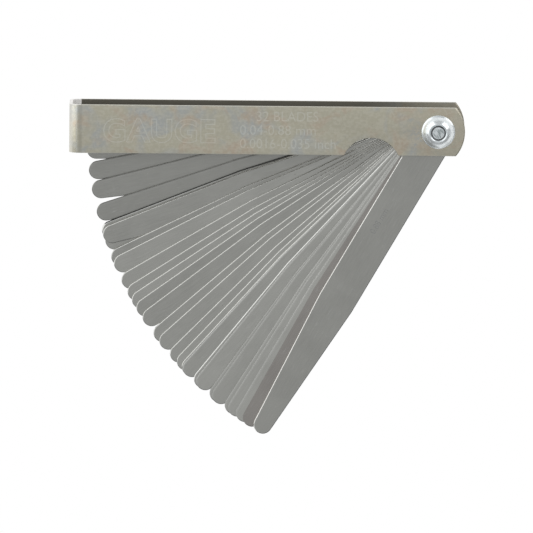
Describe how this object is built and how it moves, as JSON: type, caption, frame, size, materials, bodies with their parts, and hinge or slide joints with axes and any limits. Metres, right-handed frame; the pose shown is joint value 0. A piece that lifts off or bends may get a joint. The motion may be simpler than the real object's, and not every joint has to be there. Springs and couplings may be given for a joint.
{
  "type": "feeler gauge",
  "caption": "Folding feeler gauge: a fan of graded steel blades with tapered ends that turns on one screw out of a folded sheet-steel case with a thumb notch.",
  "frame": {"origin": "on the pivot axis, at the flat outer face of the screw head, the lowest plane of the part", "axes": "+Z along the pivot axis from the screw head to the domed nut, -X from the pivot to the folded end of the case, the blades open towards -Y"},
  "size_m": [0.1066, 0.089, 0.0208],
  "materials": {
    "plated_sheet": "satin nickel plate on steel sheet",
    "zinc": "bright zinc plate",
    "blade_steel": "fine ground spring steel"
  },
  "bodies": {
    "case": {"case": "plated_sheet", "pivot_screw": "zinc", "domed_nut": "zinc"},
    "blade_0_88mm": {"blade_0_88mm": "blade_steel"},
    "blade_0_04mm": {"blade_0_04mm": "blade_steel"},
    "blade_0_05mm": {"blade_0_05mm": "blade_steel"},
    "blade_0_06mm": {"blade_0_06mm": "blade_steel"},
    "blade_0_08mm": {"blade_0_08mm": "blade_steel"},
    "blade_0_10mm": {"blade_0_10mm": "blade_steel"},
    "blade_0_13mm": {"blade_0_13mm": "blade_steel"},
    "blade_0_15mm": {"blade_0_15mm": "blade_steel"},
    "blade_0_18mm": {"blade_0_18mm": "blade_steel"},
    "blade_0_20mm": {"blade_0_20mm": "blade_steel"},
    "blade_0_23mm": {"blade_0_23mm": "blade_steel"},
    "blade_0_25mm": {"blade_0_25mm": "blade_steel"},
    "blade_0_28mm": {"blade_0_28mm": "blade_steel"},
    "blade_0_30mm": {"blade_0_30mm": "blade_steel"},
    "blade_0_33mm": {"blade_0_33mm": "blade_steel"},
    "blade_0_35mm": {"blade_0_35mm": "blade_steel"},
    "blade_0_38mm": {"blade_0_38mm": "blade_steel"},
    "blade_0_40mm": {"blade_0_40mm": "blade_steel"},
    "blade_0_43mm": {"blade_0_43mm": "blade_steel"},
    "blade_0_45mm": {"blade_0_45mm": "blade_steel"},
    "blade_0_48mm": {"blade_0_48mm": "blade_steel"},
    "blade_0_50mm": {"blade_0_50mm": "blade_steel"},
    "blade_0_53mm": {"blade_0_53mm": "blade_steel"},
    "blade_0_55mm": {"blade_0_55mm": "blade_steel"},
    "blade_0_58mm": {"blade_0_58mm": "blade_steel"},
    "blade_0_60mm": {"blade_0_60mm": "blade_steel"},
    "blade_0_63mm": {"blade_0_63mm": "blade_steel"},
    "blade_0_65mm": {"blade_0_65mm": "blade_steel"},
    "blade_0_70mm": {"blade_0_70mm": "blade_steel"},
    "blade_0_73mm": {"blade_0_73mm": "blade_steel"},
    "blade_0_75mm": {"blade_0_75mm": "blade_steel"},
    "blade_0_80mm": {"blade_0_80mm": "blade_steel"}
  },
  "joints": [
    {"name": "turn_0_88mm", "type": "hinge", "parent": "case", "child": "blade_0_88mm", "pos_m": [0, 0, 0.00982], "axis": [0, 0, 1], "range_deg": [-59.8, 120.2]},
    {"name": "turn_0_04mm", "type": "hinge", "parent": "case", "child": "blade_0_04mm", "pos_m": [0, 0, 0.00982], "axis": [0, 0, 1], "range_deg": [-59.8, 120.2]},
    {"name": "turn_0_05mm", "type": "hinge", "parent": "case", "child": "blade_0_05mm", "pos_m": [0, 0, 0.00982], "axis": [0, 0, 1], "range_deg": [-57.7, 122.3]},
    {"name": "turn_0_06mm", "type": "hinge", "parent": "case", "child": "blade_0_06mm", "pos_m": [0, 0, 0.00982], "axis": [0, 0, 1], "range_deg": [-56.3, 123.7]},
    {"name": "turn_0_08mm", "type": "hinge", "parent": "case", "child": "blade_0_08mm", "pos_m": [0, 0, 0.00982], "axis": [0, 0, 1], "range_deg": [-54.7, 125.3]},
    {"name": "turn_0_10mm", "type": "hinge", "parent": "case", "child": "blade_0_10mm", "pos_m": [0, 0, 0.00982], "axis": [0, 0, 1], "range_deg": [-54, 126]},
    {"name": "turn_0_13mm", "type": "hinge", "parent": "case", "child": "blade_0_13mm", "pos_m": [0, 0, 0.00982], "axis": [0, 0, 1], "range_deg": [-54, 126]},
    {"name": "turn_0_15mm", "type": "hinge", "parent": "case", "child": "blade_0_15mm", "pos_m": [0, 0, 0.00982], "axis": [0, 0, 1], "range_deg": [-51.3, 128.7]},
    {"name": "turn_0_18mm", "type": "hinge", "parent": "case", "child": "blade_0_18mm", "pos_m": [0, 0, 0.00982], "axis": [0, 0, 1], "range_deg": [-50.8, 129.2]},
    {"name": "turn_0_20mm", "type": "hinge", "parent": "case", "child": "blade_0_20mm", "pos_m": [0, 0, 0.00982], "axis": [0, 0, 1], "range_deg": [-50.8, 129.2]},
    {"name": "turn_0_23mm", "type": "hinge", "parent": "case", "child": "blade_0_23mm", "pos_m": [0, 0, 0.00982], "axis": [0, 0, 1], "range_deg": [-47.8, 132.2]},
    {"name": "turn_0_25mm", "type": "hinge", "parent": "case", "child": "blade_0_25mm", "pos_m": [0, 0, 0.00982], "axis": [0, 0, 1], "range_deg": [-47.3, 132.7]},
    {"name": "turn_0_28mm", "type": "hinge", "parent": "case", "child": "blade_0_28mm", "pos_m": [0, 0, 0.00982], "axis": [0, 0, 1], "range_deg": [-44.7, 135.3]},
    {"name": "turn_0_30mm", "type": "hinge", "parent": "case", "child": "blade_0_30mm", "pos_m": [0, 0, 0.00982], "axis": [0, 0, 1], "range_deg": [-44.4, 135.6]},
    {"name": "turn_0_33mm", "type": "hinge", "parent": "case", "child": "blade_0_33mm", "pos_m": [0, 0, 0.00982], "axis": [0, 0, 1], "range_deg": [-43.2, 136.8]},
    {"name": "turn_0_35mm", "type": "hinge", "parent": "case", "child": "blade_0_35mm", "pos_m": [0, 0, 0.00982], "axis": [0, 0, 1], "range_deg": [-41.5, 138.5]},
    {"name": "turn_0_38mm", "type": "hinge", "parent": "case", "child": "blade_0_38mm", "pos_m": [0, 0, 0.00982], "axis": [0, 0, 1], "range_deg": [-38.7, 141.3]},
    {"name": "turn_0_40mm", "type": "hinge", "parent": "case", "child": "blade_0_40mm", "pos_m": [0, 0, 0.00982], "axis": [0, 0, 1], "range_deg": [-37.1, 142.9]},
    {"name": "turn_0_43mm", "type": "hinge", "parent": "case", "child": "blade_0_43mm", "pos_m": [0, 0, 0.00982], "axis": [0, 0, 1], "range_deg": [-33.9, 146.1]},
    {"name": "turn_0_45mm", "type": "hinge", "parent": "case", "child": "blade_0_45mm", "pos_m": [0, 0, 0.00982], "axis": [0, 0, 1], "range_deg": [-32, 148]},
    {"name": "turn_0_48mm", "type": "hinge", "parent": "case", "child": "blade_0_48mm", "pos_m": [0, 0, 0.00982], "axis": [0, 0, 1], "range_deg": [-30.5, 149.5]},
    {"name": "turn_0_50mm", "type": "hinge", "parent": "case", "child": "blade_0_50mm", "pos_m": [0, 0, 0.00982], "axis": [0, 0, 1], "range_deg": [-29, 151]},
    {"name": "turn_0_53mm", "type": "hinge", "parent": "case", "child": "blade_0_53mm", "pos_m": [0, 0, 0.00982], "axis": [0, 0, 1], "range_deg": [-26.8, 153.2]},
    {"name": "turn_0_55mm", "type": "hinge", "parent": "case", "child": "blade_0_55mm", "pos_m": [0, 0, 0.00982], "axis": [0, 0, 1], "range_deg": [-23.8, 156.2]},
    {"name": "turn_0_58mm", "type": "hinge", "parent": "case", "child": "blade_0_58mm", "pos_m": [0, 0, 0.00982], "axis": [0, 0, 1], "range_deg": [-22.6, 157.4]},
    {"name": "turn_0_60mm", "type": "hinge", "parent": "case", "child": "blade_0_60mm", "pos_m": [0, 0, 0.00982], "axis": [0, 0, 1], "range_deg": [-18.6, 161.4]},
    {"name": "turn_0_63mm", "type": "hinge", "parent": "case", "child": "blade_0_63mm", "pos_m": [0, 0, 0.00982], "axis": [0, 0, 1], "range_deg": [-19.8, 160.2]},
    {"name": "turn_0_65mm", "type": "hinge", "parent": "case", "child": "blade_0_65mm", "pos_m": [0, 0, 0.00982], "axis": [0, 0, 1], "range_deg": [-18, 162]},
    {"name": "turn_0_70mm", "type": "hinge", "parent": "case", "child": "blade_0_70mm", "pos_m": [0, 0, 0.00982], "axis": [0, 0, 1], "range_deg": [-14.8, 165.2]},
    {"name": "turn_0_73mm", "type": "hinge", "parent": "case", "child": "blade_0_73mm", "pos_m": [0, 0, 0.00982], "axis": [0, 0, 1], "range_deg": [-11, 169]},
    {"name": "turn_0_75mm", "type": "hinge", "parent": "case", "child": "blade_0_75mm", "pos_m": [0, 0, 0.00982], "axis": [0, 0, 1], "range_deg": [-7.8, 172.2]},
    {"name": "turn_0_80mm", "type": "hinge", "parent": "case", "child": "blade_0_80mm", "pos_m": [0, 0, 0.00982], "axis": [0, 0, 1], "range_deg": [-4.4, 175.6]}
  ]
}
